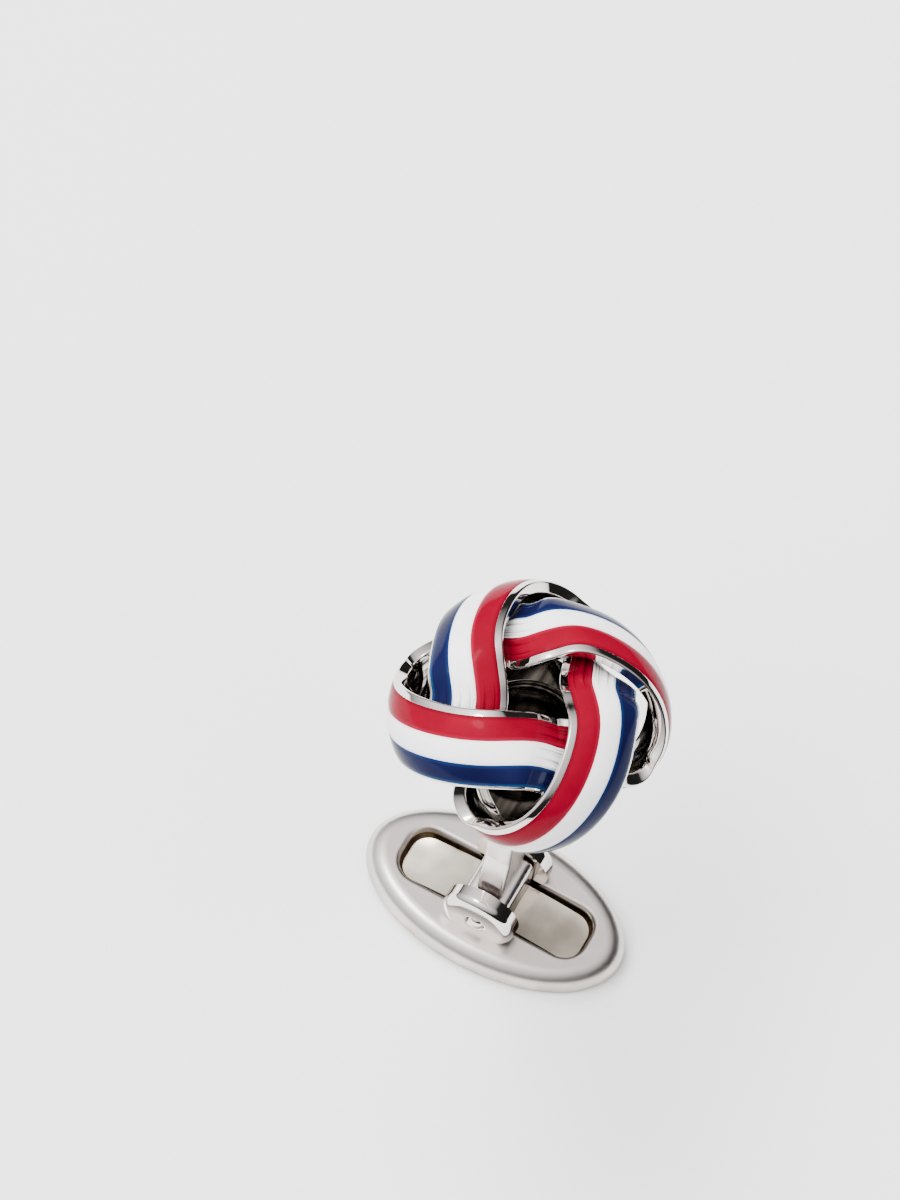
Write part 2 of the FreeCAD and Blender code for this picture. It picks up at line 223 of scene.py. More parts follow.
class Shader:
    """Node material with one principled shader."""

    def __init__(self, name: str) -> None:
        """Make an empty node material.

        Args:
            name: Name of the material.
        """
        self.material = bpy.data.materials.new(name)
        self.material.use_nodes = True
        self.tree = self.material.node_tree
        self.shader = self.tree.nodes["Principled BSDF"]
        self.place = self.tree.nodes.new("ShaderNodeTexCoord").outputs["Object"]

    def node(self, kind: str, **values: object) -> bpy.types.Node:
        """Add a node and set its properties.

        Args:
            kind: Node type.
            values: Properties by name.

        Returns:
            The new node.
        """
        made = self.tree.nodes.new(kind)
        for name, value in values.items():
            setattr(made, name, value)
        return made

    def link(self, source: bpy.types.NodeSocket, target: bpy.types.NodeSocket) -> None:
        """Join two sockets."""
        self.tree.links.new(source, target)

    def set(self, **values: object) -> None:
        """Set the shader's own sockets, named with _ for a space."""
        for name, value in values.items():
            self.shader.inputs[name.replace("_", " ")].default_value = value

    def pattern(self, place: bpy.types.NodeSocket, scale: float, detail: float,
                stretch: tuple[float, float, float]) -> bpy.types.NodeSocket:
        """Noise on given coordinates.

        Args:
            place: Coordinates.
            scale: Features per unit.
            detail: Octaves.
            stretch: Scale of each axis.

        Returns:
            The pattern's value.
        """
        mapping = self.node("ShaderNodeMapping")
        mapping.inputs["Scale"].default_value = stretch
        self.link(place, mapping.inputs["Vector"])
        made = self.node("ShaderNodeTexNoise")
        made.inputs["Scale"].default_value = scale
        made.inputs["Detail"].default_value = detail
        self.link(mapping.outputs["Vector"], made.inputs["Vector"])
        return made.outputs["Fac"]

    def noise(self, scale: float, detail: float, stretch: tuple[float, float, float] = (1, 1, 1),
              ) -> bpy.types.NodeSocket:
        """Cloudy pattern on Object coordinates, with a scale in features per metre."""
        return self.pattern(self.place, scale, detail, stretch)

    def spread(self, value: bpy.types.NodeSocket, low: float, high: float,
               source: tuple[float, float] = (0.3, 0.7)) -> bpy.types.NodeSocket:
        """Map a pattern's value to a range.

        Args:
            value: Pattern.
            low: Result at the lower end.
            high: Result at the upper end.
            source: Range of the pattern.

        Returns:
            The mapped value.
        """
        made = self.node("ShaderNodeMapRange")
        made.inputs["From Min"].default_value, made.inputs["From Max"].default_value = source
        made.inputs["To Min"].default_value, made.inputs["To Max"].default_value = low, high
        self.link(value, made.inputs["Value"])
        return made.outputs["Result"]

    def blend(self, share: bpy.types.NodeSocket, low: object, high: object) -> bpy.types.NodeSocket:
        """Mix two colours by a pattern.

        Args:
            share: Pattern from 0 to 1.
            low: Colour at 0, as three numbers or a socket.
            high: Colour at 1, as three numbers or a socket.

        Returns:
            The mixed colour.
        """
        made = self.node("ShaderNodeMix", data_type="RGBA")
        self.link(share, made.inputs["Factor"])
        for socket, colour in zip([i for i in made.inputs if i.type == "RGBA"], (low, high)):
            if isinstance(colour, tuple):
                socket.default_value = (*colour, 1)
            else:
                self.link(colour, socket)
        return [o for o in made.outputs if o.type == "RGBA"][0]

    def maths(self, operation: str, first: bpy.types.NodeSocket, second: object = 0.0,
              ) -> bpy.types.NodeSocket:
        """Work on a value.

        Args:
            operation: Name of the operation.
            first: Value.
            second: Second value, as a number or a socket.

        Returns:
            The result.
        """
        made = self.node("ShaderNodeMath", operation=operation)
        self.link(first, made.inputs[0])
        if isinstance(second, float):
            made.inputs[1].default_value = second
        else:
            self.link(second, made.inputs[1])
        return made.outputs["Value"]

    def flow_vector(self) -> bpy.types.NodeSocket:
        """The surface's own values along and across it, as one vector."""
        found = self.tree.nodes.get("flow")
        made = found or self.node("ShaderNodeAttribute", name="flow", attribute_name="flow")
        return made.outputs["Vector"]

    def flow(self) -> tuple[bpy.types.NodeSocket, bpy.types.NodeSocket]:
        """The surface's own values along and across it, one by one."""
        split = self.node("ShaderNodeSeparateXYZ")
        self.link(self.flow_vector(), split.inputs["Vector"])
        return split.outputs["X"], split.outputs["Y"]

    def streaks(self, along: float, across: float) -> bpy.types.NodeSocket:
        """Streaky pattern on the flow values, with features per unit along and across."""
        return self.pattern(self.flow_vector(), 1.0, 4.0, (along, across, 1.0))

    def bump(self, height: bpy.types.NodeSocket, depth: float, strength: float) -> None:
        """Relief of the surface.

        Args:
            height: Pattern from 0 to 1.
            depth: Depth of the relief in metres.
            strength: Share of the relief that shows.
        """
        made = self.node("ShaderNodeBump")
        made.inputs["Strength"].default_value = strength
        made.inputs["Distance"].default_value = depth
        self.link(height, made.inputs["Height"])
        self.link(made.outputs["Normal"], self.shader.inputs["Normal"])


@dataclass(frozen=True)
class Finish:
    """A finish; each subclass turns its values into a material."""

    name: str

    def material(self) -> bpy.types.Material:
        """The finish's material, made on first use."""
        found = bpy.data.materials.get(self.name)
        return found or self.make()

    def make(self) -> bpy.types.Material:
        """Build the material."""
        raise NotImplementedError


@dataclass(frozen=True)
class PlatedMetal(Finish):
    """Bright plated metal with a faint haze and rubbing marks."""

    bright: Colour
    dull: Colour
    smooth: float
    rough: float
    depth: float

    def tone(self, s: Shader) -> bpy.types.NodeSocket:
        """Colour that drifts slightly from place to place."""
        return s.blend(s.spread(s.noise(CLOUDS, 3.0), 0, 1), self.bright, self.dull)

    def make(self) -> bpy.types.Material:
        """Metal whose gloss and tint drift slightly from place to place.

        Returns:
            The material.
        """
        s = Shader(self.name)
        s.set(Metallic=1.0)
        s.link(self.tone(s), s.shader.inputs["Base Color"])
        gloss = s.spread(s.noise(CLOUDS, 3.0), self.smooth, self.rough)
        s.link(gloss, s.shader.inputs["Roughness"])
        self.relief(s)
        return s.material

    def relief(self, s: Shader) -> None:
        """Fine rubbing marks."""
        s.bump(s.noise(RUBBING, 4.0, (1.0, 0.25, 1.0)), self.depth, 0.25)


@dataclass(frozen=True)
class WavyMetal(PlatedMetal):
    """Plated metal that is slightly uneven, so that reflections wander."""

    def relief(self, s: Shader) -> None:
        """Broad unevenness."""
        s.bump(s.noise(WAVES, 0.0), self.depth, 1.0)


@dataclass(frozen=True)
class MetalWithPaintedShade(PlatedMetal):
    """Plated metal with painted shade and painted streaky reflections on its inner side."""

    # dark is the colour of the painted shade, streak that of the painted streaky reflections
    dark: Colour
    streak: Colour
    pitch: tuple[float, float]
    inner_from: tuple[float, float] = (0.9, 1.6)
    contrast: tuple[float, float] = (0.44, 0.64)

    def tone(self, s: Shader) -> bpy.types.NodeSocket:
        """Bright outside, and painted shade with painted streaky reflections along the inner side,
        told by the flow across.
        """
        face = super().tone(s)
        inner = s.spread(s.flow()[1], 0, 1, self.inner_from)
        lines = s.spread(s.streaks(*self.pitch), 0, 1, self.contrast)
        return s.blend(inner, face, s.blend(lines, self.dark, self.streak))


@dataclass(frozen=True)
class Enamel(Finish):
    """Glossy enamel, slightly cloudy, with other tones at its edges and painted shade at its ends.
    """

    deep: Colour
    light: Colour
    # edge colours: tinted towards the next stripe and partly painted shade; the blue's outer one is
    # a painted cyan glint
    hole_edge_tint_and_shade: Colour
    outer_edge_tint_shade_glint: Colour
    # shade: painted shade at both ends of a strand, where it goes under the next strand
    shade: Colour
    gloss: Colour
    over_at: float = 45.0
    shade_from: float = 58.0
    shade_full: float = 80.0
    wander: float = 11.0
    shade_share: float = 0.9
    pitch: tuple[float, float] = (0.02, 5.0)
    edge_from: float = 0.66
    edge_share: float = 0.85
    rough: float = 0.06
    ior: float = 1.17
    clouds: float = 500.0
    ripples: float = 700.0
    ripple_depth: float = 2.5e-5

    def make(self) -> bpy.types.Material:
        """Glossy colour with soft clouds and a faint ripple.

        The tone changes over the outermost part of each edge; the edge colours are tinted
        towards the next stripe and are partly painted shade, and on the blue's outer edge
        a painted cyan glint. Painted streaky shade, standing for the shadow where a strand
        goes under the next, grows towards both ends of a strand, measured by the azimuth
        from the upper crossing.

        Returns:
            The material.
        """
        s = Shader(self.name)
        s.set(Roughness=self.rough, IOR=self.ior, Specular_Tint=(*self.gloss, 1.0))
        along, across = s.flow()
        body = s.blend(s.spread(s.noise(self.clouds, 3.0), 0, 1), self.deep, self.light)
        # edge tones, partly painted shade, and a painted glint on the blue's outer edge
        hole = s.spread(across, self.edge_share, 0.0, (-1.0, -self.edge_from))
        outer = s.spread(across, 0.0, self.edge_share, (self.edge_from, 1.0))
        body = s.blend(outer, s.blend(hole, body, self.hole_edge_tint_and_shade), self.outer_edge_tint_shade_glint)
        # painted streaky shade towards the ends of a strand, away from the crossing it goes over
        away = s.maths("ABSOLUTE", s.maths("SUBTRACT", along, self.over_at))
        lines = s.spread(s.streaks(*self.pitch), -self.wander, self.wander)
        ends = s.spread(s.maths("ADD", away, lines), 0.0, self.shade_share,
                        (self.shade_from, self.shade_full))
        s.link(s.blend(ends, body, self.shade), s.shader.inputs["Base Color"])
        s.bump(s.noise(self.ripples, 2.0), self.ripple_depth, 0.3)
        return s.material


@dataclass(frozen=True)
class Floor(Finish):
    """Plain pale floor."""

    colour: Colour
    mottle: float = 0.99

    def make(self) -> bpy.types.Material:
        """Matt colour with the faintest mottle.

        Returns:
            The material.
        """
        s = Shader(self.name)
        s.set(Roughness=0.9)
        second = tuple(self.mottle * c for c in self.colour)
        s.link(s.blend(s.noise(30.0, 2.0), self.colour, second), s.shader.inputs["Base Color"])
        return s.material


SILVER = ((0.79, 0.735, 0.715), (0.72, 0.665, 0.645))
RHODIUM = PlatedMetal("polished_rhodium", *SILVER, 0.03, 0.07, 6e-6)
SATIN = PlatedMetal("soft_rhodium", *SILVER, 0.2, 0.27, 6e-6)
# the last two colours of each of these three are painted shade and painted streaky reflections on
# the inner side
PLATE = MetalWithPaintedShade("satin_rhodium", *SILVER, 0.28, 0.33, 6e-6,
                     (0.16, 0.115, 0.075), (0.55, 0.46, 0.36), (0.6, 1.5))
STRAND = MetalWithPaintedShade("strand_rhodium", *SILVER, 0.03, 0.07, 6e-6,
                      (0.05, 0.04, 0.035), (0.72, 0.67, 0.62), (0.03, 14.0))
CUP_METAL = MetalWithPaintedShade("cup_rhodium", *SILVER, 0.12, 0.2, 1.2e-5,
                         (0.03, 0.025, 0.022), (0.14, 0.12, 0.10), (2.0, 1.0))
SPRING_STEEL = WavyMetal("bright_spring", (0.76, 0.69, 0.585), (0.44, 0.385, 0.315),
                         0.08, 0.16, 1.6e-3)
# the fifth colour of each enamel is painted shade at a strand's ends; the edge colours are partly
# painted shade, the blue's outer one a painted cyan glint
ENAMELS = {
    Stripe.RED: Enamel("red_glaze", (0.140, 0.0002, 0.009), (0.175, 0.0004, 0.012),
                       (0.09, 0.0003, 0.006), (0.24, 0.01, 0.03), (0.015, 0.001, 0.001),
                       (1.0, 0.55, 0.6)),
    Stripe.WHITE: Enamel("white_glaze", (0.80, 0.80, 0.82), (0.86, 0.86, 0.88),
                         (0.80, 0.60, 0.62), (0.60, 0.66, 0.78), (0.10, 0.09, 0.085),
                         (1.0, 1.0, 1.0)),
    Stripe.BLUE: Enamel("blue_glaze", (0.0035, 0.0040, 0.024), (0.0055, 0.0065, 0.036),
                        (0.006, 0.02, 0.08), (0.004, 0.05, 0.14), (0.001, 0.001, 0.003),
                        (0.6, 0.75, 1.0)),
}
PALE_FLOOR = Floor("pale_floor", (0.80, 0.80, 0.80))


# Sub-assemblies

@dataclass
class KnotHead:
    """Four striped strands woven over a dome, a quarter turn apart."""

    # dome: radius in millimetres, height as a share of it, turn of the whole knot
    radius: float = 6.58
    height: float = 1.588
    turn: float = 18.75
    # middle line of a strand: latitude in degrees and reach as a share of the radius
    lat_mean: float = 36.5
    lat_swing: float = -17.0
    lat_point: float = -1.5
    lat_skew: float = 1.42
    weave: float = 0.193
    reach_lobe: float = -0.008
    reach_even: float = 0.033
    reach_skew: float = 0.045
    # roll of the strip about its middle line, in degrees
    tilt_mean: float = -17.6
    tilt_lobe: float = -36.3
    tilt_cross: float = 28.3
    tilt_skew: float = 17.3
    tilt_even: float = 12.4
    tilt_wave: float = 4.5
    tilt_twist: float = -5.4
    # narrower stretch beside the lobe
    pinch: float = 0.24
    pinch_at: float = -33.0
    pinch_power: int = 20
    # easing beside the crossing that the strand goes under
    under_at: float = 118.0
    under_wide: float = 10.0
    under_roll: float = 26.0
    under_lift: float = 0.08
    lobe_at: float = -32.0
    lobe_wide: float = 18.0
    lobe_roll: float = 7.0
    lobe_lift: float = 0.05
    # section of the strip, as shares of the radius
    crown: float = 0.682
    thickness: float = 0.103
    rim_hole: float = 0.064
    rim_out: float = 0.030
    red_width: float = 0.186
    white_width: float = 0.184
    blue_width: float = 0.167
    stripe_shift: float = -0.0828
    channel: float = 0.036
    edge_round: float = 0.02
    # fits and small forms in millimetres
    seam: float = 0.004
    enamel_fit: float = 0.01
    channel_soft: float = 0.012
    swell: float = 0.035
    swell_low: float = 0.02
    # ends of a strand in degrees from its lobe, joint between strands, and counts
    first: float = 135.0
    last: float = -45.0
    butt: float = 0.12
    probe: float = 0.01
    steps: int = 300
    strands: int = 4

    def __post_init__(self) -> None:
        """Work out the knot's place and the widths across a strip in millimetres."""
        self.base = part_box("knot_seat")[0].z / MM + CoreCup.drop - CoreCup.above * self.radius
        white = self.stripe_shift - self.white_width / 2
        self.edges = self.radius * np.cumsum([white - self.red_width, self.red_width,
                                              self.white_width, self.blue_width])
        self.low = self.edges[0] - self.rim_hole * self.radius
        self.high = self.edges[-1] + self.rim_out * self.radius

    def ease(self, u: np.ndarray, under: float, lobe: float) -> np.ndarray:
        """Two bell curves along a strand, beside the crossing that it goes under.

        Args:
            u: Azimuths from the lobe in degrees.
            under: Height of the curve where the strand goes in.
            lobe: Height of the curve where the next lobe comes out.

        Returns:
            Their sum at each azimuth.
        """
        return (under * np.exp(-((u - self.under_at) / self.under_wide) ** 2)
                + lobe * np.exp(-((u - self.lobe_at) / self.lobe_wide) ** 2))

    def middle(self, u: np.ndarray) -> np.ndarray:
        """Middle line of a strand.

        The latitude on the dome and the reach from its centre are sums of sines and
        cosines of twice and four times the azimuth from the lobe.

        Args:
            u: Azimuths from the lobe in degrees.

        Returns:
            Points above the dome's centre.
        """
        c2, s2 = np.cos(np.radians(2 * u)), np.sin(np.radians(2 * u))
        c4, s4 = np.cos(np.radians(4 * u)), np.sin(np.radians(4 * u))
        lat = self.lat_mean + self.lat_swing * c2 + self.lat_point * c4 + self.lat_skew * s4
        lat = np.radians(lat)
        reach = 1 + self.weave * s2 + self.reach_lobe * c2
        reach = reach + self.ease(u, self.under_lift, self.lobe_lift)
        reach = self.radius * (reach + self.reach_even * c4 + self.reach_skew * s4)
        turn = np.radians(u + self.turn)
        flat = reach * np.cos(lat)
        rise = self.height * reach * np.sin(lat)
        return np.stack([flat * np.cos(turn), flat * np.sin(turn), rise], -1)

    def strip(self, u: np.ndarray, s: np.ndarray, depth: np.ndarray, quarter: int) -> np.ndarray:
        """Points of a strip.

        At each azimuth the strip's face is an arc of the crown radius, square to the
        middle line and rolled about it; s runs along the arc and depth below it.

        Args:
            u: Azimuths from the lobe in degrees.
            s: Widths from the middle line.
            depth: Depths below the crowned face.
            quarter: Quarter turns of the strand, clockwise.

        Returns:
            Grid of azimuths by widths.
        """
        point = self.middle(u)
        along = unit(self.middle(u - self.probe) - self.middle(u + self.probe))
        out = point / np.array([1, 1, self.height ** 2])
        out = unit(out - along * np.sum(out * along, -1, keepdims=True))
        side = np.cross(along, out)
        twice = np.radians(2 * u)
        tilt = self.tilt_mean + self.tilt_lobe * np.cos(twice) + self.tilt_cross * np.sin(twice)
        tilt = tilt + self.tilt_even * np.cos(2 * twice) + self.tilt_skew * np.sin(2 * twice)
        tilt = tilt + self.tilt_wave * np.cos(3 * twice) + self.tilt_twist * np.sin(3 * twice)
        tilt = np.radians(tilt + self.ease(u, self.under_roll, self.lobe_roll))[:, None]
        face = out * np.cos(tilt) + side * np.sin(tilt)
        side = side * np.cos(tilt) - out * np.sin(tilt)
        bend = self.crown * self.radius
        width = 1 - self.pinch * np.cos(np.radians(u - self.pinch_at)) ** self.pinch_power
        angle, r = width[:, None] * s / bend, bend - depth
        grid = (point - face * bend)[:, None] + face[:, None] * (r * np.cos(angle))[..., None]
        grid = grid - side[:, None] * (r * np.sin(angle))[..., None]
        a = -quarter * TURN / self.strands
        spin = np.array([[math.cos(a), math.sin(a), 0], [-math.sin(a), math.cos(a), 0], [0, 0, 1]])
        return grid @ spin + np.array([0, 0, self.base])

    def azimuths(self) -> np.ndarray:
        """Azimuths along a strand, from under one crossing to under the next."""
        return np.linspace(self.first - self.butt, self.last + self.butt, self.steps)

    def metal_section(self) -> tuple[np.ndarray, np.ndarray]:
        """Closed outline of the metal strip with its channel.

        Each corner is a quarter circle; the two edges beside the enamel are only just
        softened.

        Returns:
            Widths and depths round the outline.
        """
        r, t = self.edge_round * self.radius, self.thickness * self.radius
        deep, soft = self.channel * self.radius, self.channel_soft
        a, b = self.low, self.high
        left, right = self.edges[0], self.edges[-1]
        q = arc(0, 90, 6)
        # flank to face on the hole side, face to channel
        s = [a + r - r * np.cos(q), np.linspace(a + r, left - soft, 8)[1:],
             left - soft + soft * np.sin(q)[1:]]
        d = [r - r * np.sin(q), np.zeros(7), soft * (1 - np.cos(q))[1:]]
        # floor of the channel and back up
        s += [np.linspace(left, right, 14)]
        d += [np.full(14, deep)]
        s += [right + soft - soft * np.sin(q)[::-1], np.linspace(right + soft, b - r, 5)[1:]]
        d += [soft * (1 - np.cos(q))[::-1], np.zeros(4)]
        s += [b - r + r * np.sin(q)[1:]]
        d += [r - r * np.cos(q)[1:]]
        # flank on the outer side, underside and back
        s += [b - r + r * np.cos(q), np.linspace(b - r, a + r, 20)[1:-1], a + r - r * np.sin(q)]
        d += [t - r + r * np.sin(q), np.full(18, t), t - r + r * np.cos(q)]
        return np.concatenate(s), np.concatenate(d)

    def stripe_section(self, stripe: Stripe) -> tuple[np.ndarray, np.ndarray, np.ndarray]:
        """Closed outline of one enamel stripe.

        The face swells a little between its edges, as a flattened parabola.

        Args:
            stripe: Which stripe.

        Returns:
            Widths, depths and place across the stripe from -1 to 1.
        """
        k = list(Stripe).index(stripe)
        a, b = self.edges[k] + self.seam, self.edges[k + 1] - self.seam
        t = np.linspace(-1, 1, 25)
        s = (a + b) / 2 + t * (b - a) / 2
        swell = self.swell * (1 - t ** 4) - self.swell_low
        low = self.channel * self.radius - self.enamel_fit
        return (np.concatenate([s, s[::-6]]), np.concatenate([-swell, np.full(5, low)]),
                np.concatenate([t, t[::-6]]))

    def build(self) -> None:
        """Make the strands and their stripes."""
        u = self.azimuths()
        for k in range(self.strands):
            s, d = self.metal_section()
            # the strip's underside gets flow values of 2 and more, where its metal is painted with
            # shade and streaky reflections
            under = d > 0.99 * self.thickness * self.radius
            inner = np.where(under, 2 + (s - self.low) / (self.high - self.low), 0)
            node = f"strand_{k + 1}"
            metal = self.wrap(u, s, d, inner, k)
            metal.build(f"{node}_polished", [node], Body.HEAD, "rhodium_plate", STRAND)
            for stripe in Stripe:
                node = f"{stripe.value}_enamel_{k + 1}"
                enamel = self.wrap(u, *self.stripe_section(stripe), k)
                enamel.build(f"{node}_glossy", [node], Body.HEAD, f"{stripe.value}_enamel",
                             ENAMELS[stripe])

    def wrap(self, u: np.ndarray, s: np.ndarray, depth: np.ndarray, across: np.ndarray,
             quarter: int) -> Surface:
        """Carry a closed section along a strand.

        Args:
            u: Azimuths from the lobe in degrees.
            s: Widths round the section.
            depth: Depths round the section.
            across: Flow values round the section.
            quarter: Quarter turns of the strand, clockwise.

        Returns:
            The closed surface; its flow runs along the azimuth.
        """
        made = Surface()
        flow = np.stack(np.broadcast_arrays(u[:, None], across), -1)
        made.add(self.strip(u, s, depth, quarter), (False, True), True, flow)
        return made


@dataclass
class CoreCup:
    """Round-bottomed cup under the knot, with a petal under each lobe."""

    # shares of the knot's radius
    above: float = 0.315
    radius: float = 0.435
    top: float = 0.50
    petal_out: float = 0.836
    petal_in: float = 0.66
    # millimetres
    drop: float = 3.0
    wall: float = 0.45
    petal_thick: float = 0.3
    lip: float = 0.12
    flat: float = 1.7
    hole: float = 0.81
    # turn of the petals in degrees, rounding as a share of their reach, and a count
    petal_turn: float = -4.0
    petal_round: float = 0.1
    columns: int = 288

    def build(self, knot: KnotHead) -> None:
        """Make the cup.

        The profile runs from the hole out along the bottom, up a round, out along the
        petals' underside and back, up the wall and down inside. Round the axis the
        petals' reach follows a cosine of four times the azimuth.

        Args:
            knot: The knot that it carries.
        """
        scale = knot.radius
        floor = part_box("knot_seat")[0].z / MM
        cup, reach, waist = self.radius * scale, self.petal_out * scale, self.petal_in * scale
        high = floor + self.drop
        low = high - self.petal_thick
        rim = knot.base + self.top * scale
        rise = low - floor
        centre = (cup ** 2 - self.flat ** 2 - rise ** 2) / (2 * (cup - self.flat))
        big, small = cup - centre, cup - centre - self.wall
        q = np.linspace(math.asin((self.flat - centre) / big), TURN / 4, 24)
        p = np.linspace(TURN / 4, math.acos((rise - self.wall) / small), 24)
        edge, lip = arc(-90, 90, 9), arc(0, 180, 9)
        inner = cup - self.wall
        brim = rim - self.lip
        r = np.concatenate([[self.hole], centre + big * np.sin(q), np.full(2 + len(edge), cup),
                            [cup, cup], (cup + inner) / 2 + self.wall / 2 * np.cos(lip),
                            centre + small * np.sin(p), [self.hole, self.hole]])
        z = np.concatenate([[floor], low - big * np.cos(q), [low],
                            (low + high) / 2 + self.petal_thick / 2 * np.sin(edge),
                            [high], [high, brim], brim + self.lip * np.sin(lip),
                            low - small * np.cos(p), [floor + self.wall, floor]])
        start = 2 + len(q)
        share = np.zeros(len(r))
        share[start:start + len(edge)] = 1 - self.petal_round * (1 - np.cos(edge))
        grid = revolve(np.stack([np.ones(len(r)), z], -1), self.columns)
        turn = np.linspace(0, TURN, self.columns, endpoint=False)
        wave = np.cos(knot.strands * (turn - math.radians(knot.turn + self.petal_turn)))
        petal = (reach + waist + wave * (reach - waist)) / 2
        full = r[:, None] + share[:, None] * (petal - cup)
        grid[..., :2] *= full[..., None]
        # from halfway round the petals' edge over their top, the wall and the inside the flow is 2,
        # where the cup's metal is painted with shade and streaky reflections
        inside = np.zeros(grid.shape[:2])
        inside[start + len(edge) // 2:] = 2.0
        surface = Surface()
        surface.add(grid, (True, True), False, np.stack([grid[..., 0], inside], -1))
        surface.build("knot_seat_plated", ["knot_seat"], Body.HEAD, "rhodium_plate", CUP_METAL)


@dataclass
class Post:
    """Flat waisted post with its eye below and riveted tenon above."""

    # millimetres
    neck_x: float = 1.45
    neck_y: float = 1.8
    neck_low: float = 4.8
    neck_high: float = 4.2
    eye_width: float = 2.8
    cam: float = 1.25
    cam_round: float = 0.5
    bore: float = 0.49
    collar_r: float = 1.55
    collar_t: float = 0.45
    tenon_r: float = 0.8
    rivet_r: float = 1.15
    rivet_h: float = 0.42
    fit: float = 0.01
    foot_fit: float = 0.1
    collar_lap: float = 0.05
    kink_soft: float = 0.08
    eye_soft: float = 0.12
    collar_soft: float = 0.15
    # shares of the rivet's height and of the neck's widths, and counts
    rivet_round: float = 0.8
    flare_x: float = 1.4
    flare_y: float = 1.16
    corner: float = 0.14
    steps: int = 96
    columns: int = 64

    def eye(self, pin_z: float) -> np.ndarray:
        """Eye round the pin.

        A loop of bore and rounded-square outline is carried round the pin; the outline's
        edges are softened.

        Args:
            pin_z: Height of the pin.

        Returns:
            Grid that closes on itself both ways.
        """
        size = 2 * self.cam
        outline = rounded_rect(size, size, self.cam_round, 24)[0]
        hole = self.bore * unit(outline)
        half, soft = self.eye_width / 2, self.eye_soft
        q = arc(0, 90, 5)
        inset = np.concatenate([soft * (1 - np.sin(q)), soft * (1 - np.cos(q))])
        y = np.concatenate([-half + soft * (1 - np.cos(q)), half - soft + soft * np.sin(q)])
        rings = outline[None] * (1 - inset[:, None, None] / self.cam)
        rings = np.concatenate([hole[None], rings, hole[None]])
        y = np.concatenate([[-half], y, [half]])
        y = np.broadcast_to(y[:, None], rings.shape[:2])
        return np.stack([rings[..., 0], y, rings[..., 1] + pin_z], -1)

    def shaft(self, low: float, high: float) -> np.ndarray:
        """Shaft between the eye and the collar.

        Rounded-rectangle outlines whose widths change evenly between four stations, so
        that the foot flares towards the eye and the top towards the collar.

        Args:
            low: Height of the foot.
            high: Height of the collar.

        Returns:
            Grid of heights by outline points.
        """
        pin = low - self.cam + self.cam_round
        at = np.array([low, pin + self.neck_low, high - self.neck_high, high])
        wide_x = self.neck_x * np.array([1.0, 1.0, 1.0, self.flare_x])
        foot = self.eye_width - self.foot_fit
        wide_y = np.array([foot, self.neck_y, self.neck_y, self.flare_y * self.neck_y])
        kinks = [at[1:3] - self.kink_soft, at[1:3] + self.kink_soft]
        z = np.sort(np.concatenate([np.linspace(low, high, self.steps), *kinks]))
        wide_x, wide_y = np.interp(z, at, wide_x), np.interp(z, at, wide_y)
        outline = rounded_rect(wide_x, wide_y, self.corner * self.neck_x, 16)
        z = np.broadcast_to(z[:, None], outline.shape[:2])
        return np.concatenate([outline, z[..., None]], -1)

    def turned(self, collar: float, seat: float, top: float) -> np.ndarray:
        """Profile of the collar, the tenon and the rivet head.

        Args:
            collar: Height of the collar's underside.
            seat: Height of the underside of the seat.
            top: Height of the rivet head.

        Returns:
            Radius and height, from the axis below to the axis above.
        """
        q = arc(0, 90, 6)
        soft, dome = self.collar_soft, self.rivet_h
        bend = self.rivet_round * dome
        edge = np.stack([self.collar_r - soft + soft * np.sin(q),
                         collar + soft * (1 - np.cos(q))], -1)
        neck = [[self.collar_r, seat - self.fit], [self.tenon_r, seat - self.fit],
                [self.tenon_r, top - dome], [self.rivet_r, top - dome]]
        head = np.stack([self.rivet_r - bend * (1 - np.cos(q)), top - bend * (1 - np.sin(q))], -1)
        return np.concatenate([[[TINY, collar]], edge, neck, head, [[TINY, top]]])

    def build(self) -> None:
        """Make the post as one piece."""
        pin_z = frame["joints"][0]["pos_m"][2] / MM
        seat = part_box("knot_seat")[0].z / MM
        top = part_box("post")[1].z / MM
        collar = seat - self.fit - self.collar_t
        surface = Surface()
        surface.add(self.eye(pin_z), (True, True))
        foot = pin_z + self.cam - self.cam_round
        surface.add(self.shaft(foot, collar + self.collar_lap), (False, True), True)
        surface.add(revolve(self.turned(collar, seat, top), self.columns), (False, True), True)
        surface.build("post_soft_polished", ["post"], Body.HEAD, "rhodium_plate", SATIN)


